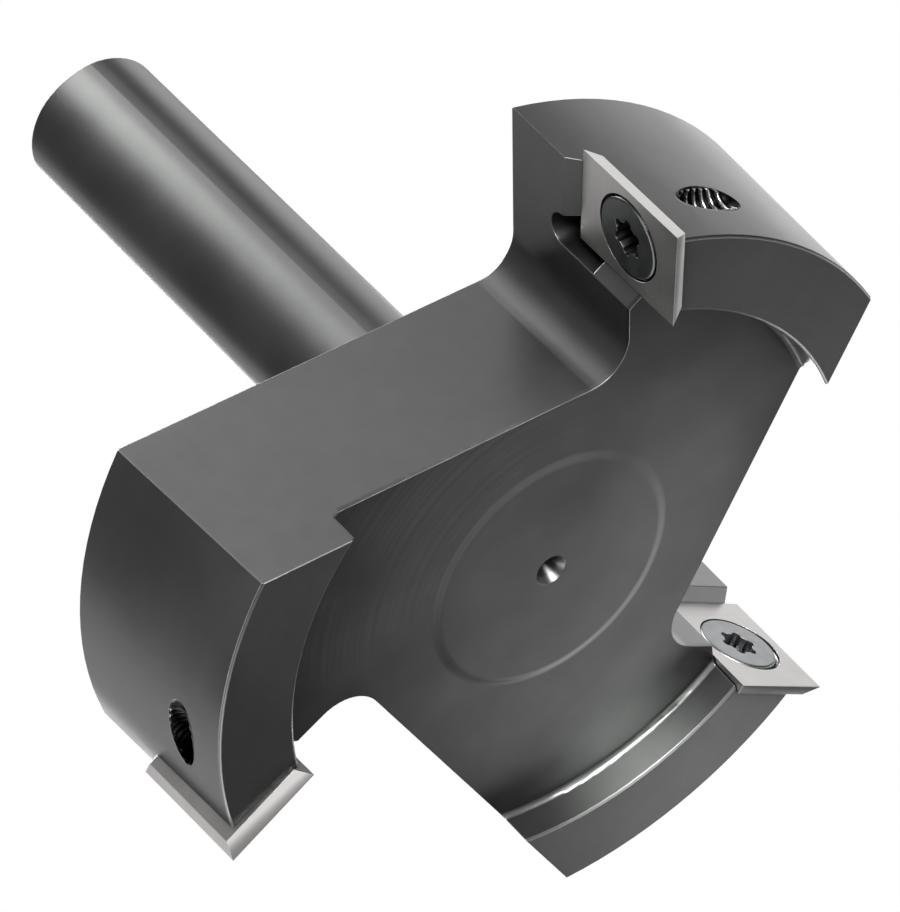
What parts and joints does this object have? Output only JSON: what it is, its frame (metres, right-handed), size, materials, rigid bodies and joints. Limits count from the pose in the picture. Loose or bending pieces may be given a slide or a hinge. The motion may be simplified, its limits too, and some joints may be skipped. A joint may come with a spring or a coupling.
{
  "type": "fly cutter",
  "caption": "Surfacing cutter with a winged steel head, screwed-on rectangular carbide inserts and a plain cylindrical shank.",
  "frame": {"origin": "on the axis of rotation, in the plane that the lowest insert corners sweep", "axes": "+Z along the axis of rotation, from the cutting end towards the shank's free end; the rake face of wing 1 is parallel to +X"},
  "size_m": [0.0669, 0.0627, 0.0723],
  "materials": {
    "body_steel": "fine matt dark steel, machined and lightly blasted",
    "carbide": "ground cemented carbide, satin grey",
    "screw_steel": "blackened steel"
  },
  "bodies": {
    "root": {"cutter_body": "body_steel", "insert_1": "carbide", "insert_2": "carbide", "insert_3": "carbide", "insert_screw_1": "screw_steel", "insert_screw_2": "screw_steel", "insert_screw_3": "screw_steel"}
  },
  "joints": []
}
